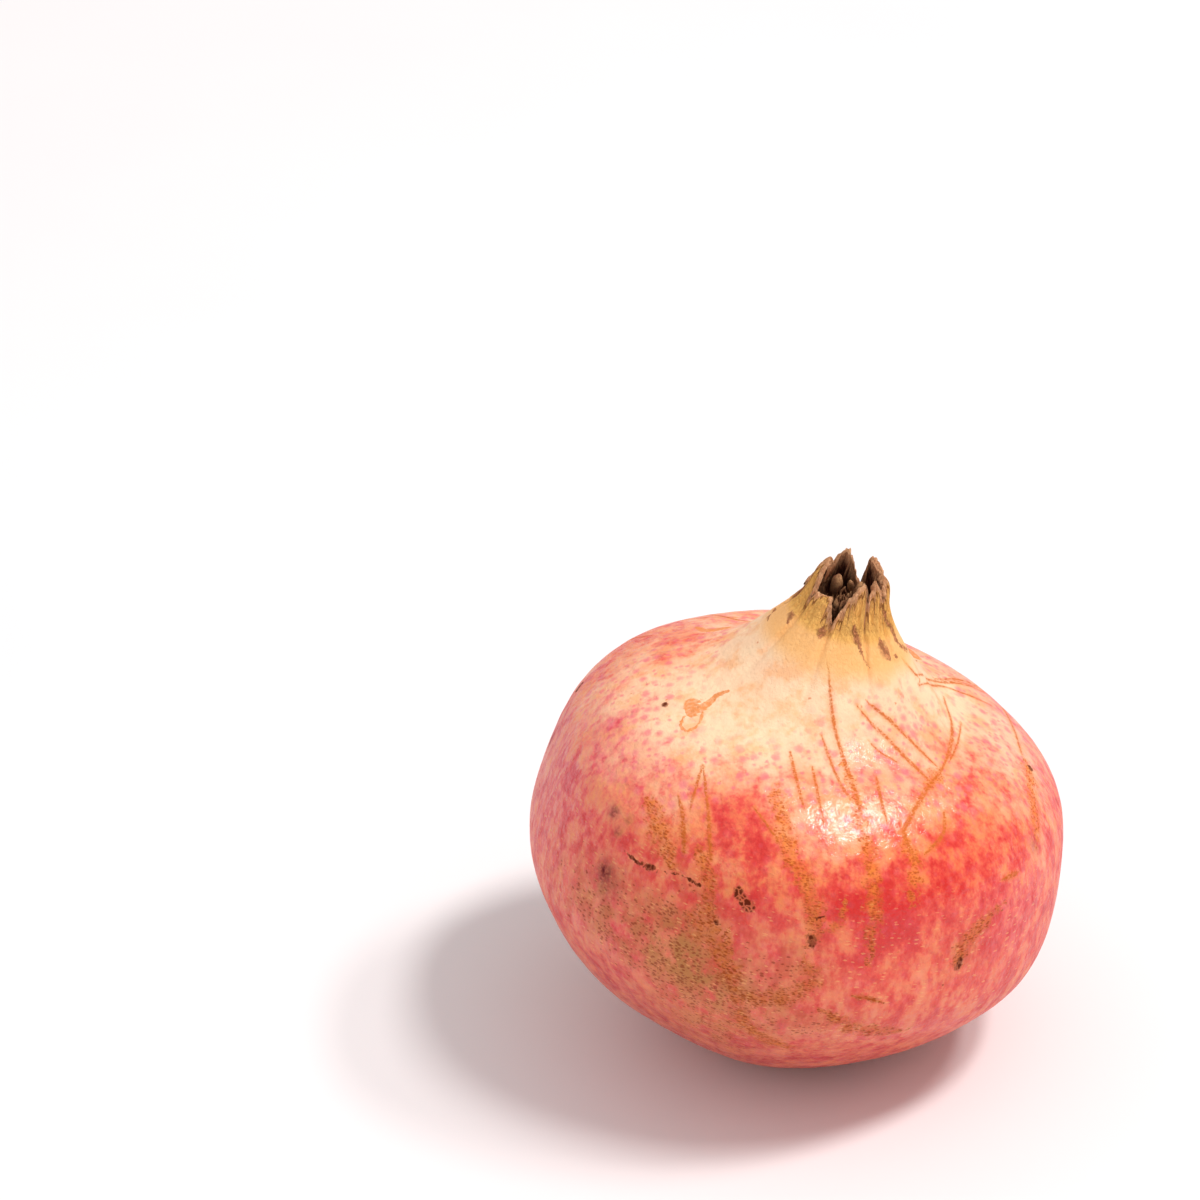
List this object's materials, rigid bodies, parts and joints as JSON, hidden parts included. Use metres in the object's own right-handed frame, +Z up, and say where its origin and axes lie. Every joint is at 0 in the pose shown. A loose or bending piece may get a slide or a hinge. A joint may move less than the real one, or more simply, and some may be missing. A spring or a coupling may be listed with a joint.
{
  "type": "pomegranate",
  "caption": "Whole ripe pomegranate with a short flared neck, a crown of pointed sepals around dried stamens, and a flat spot to rest on.",
  "frame": {"origin": "middle of the flat spot that the fruit rests on", "axes": "+Z up; the fruit's own axis leans 12 degrees from +Z towards +X; -Y is the side that the picture shows"},
  "size_m": [0.0948, 0.0953, 0.0939],
  "materials": {
    "rind": "smooth waxy leathery rind, red blush over cream yellow, russet scars, dried brown crown"
  },
  "bodies": {
    "root": {"pomegranate": "rind"}
  },
  "joints": []
}
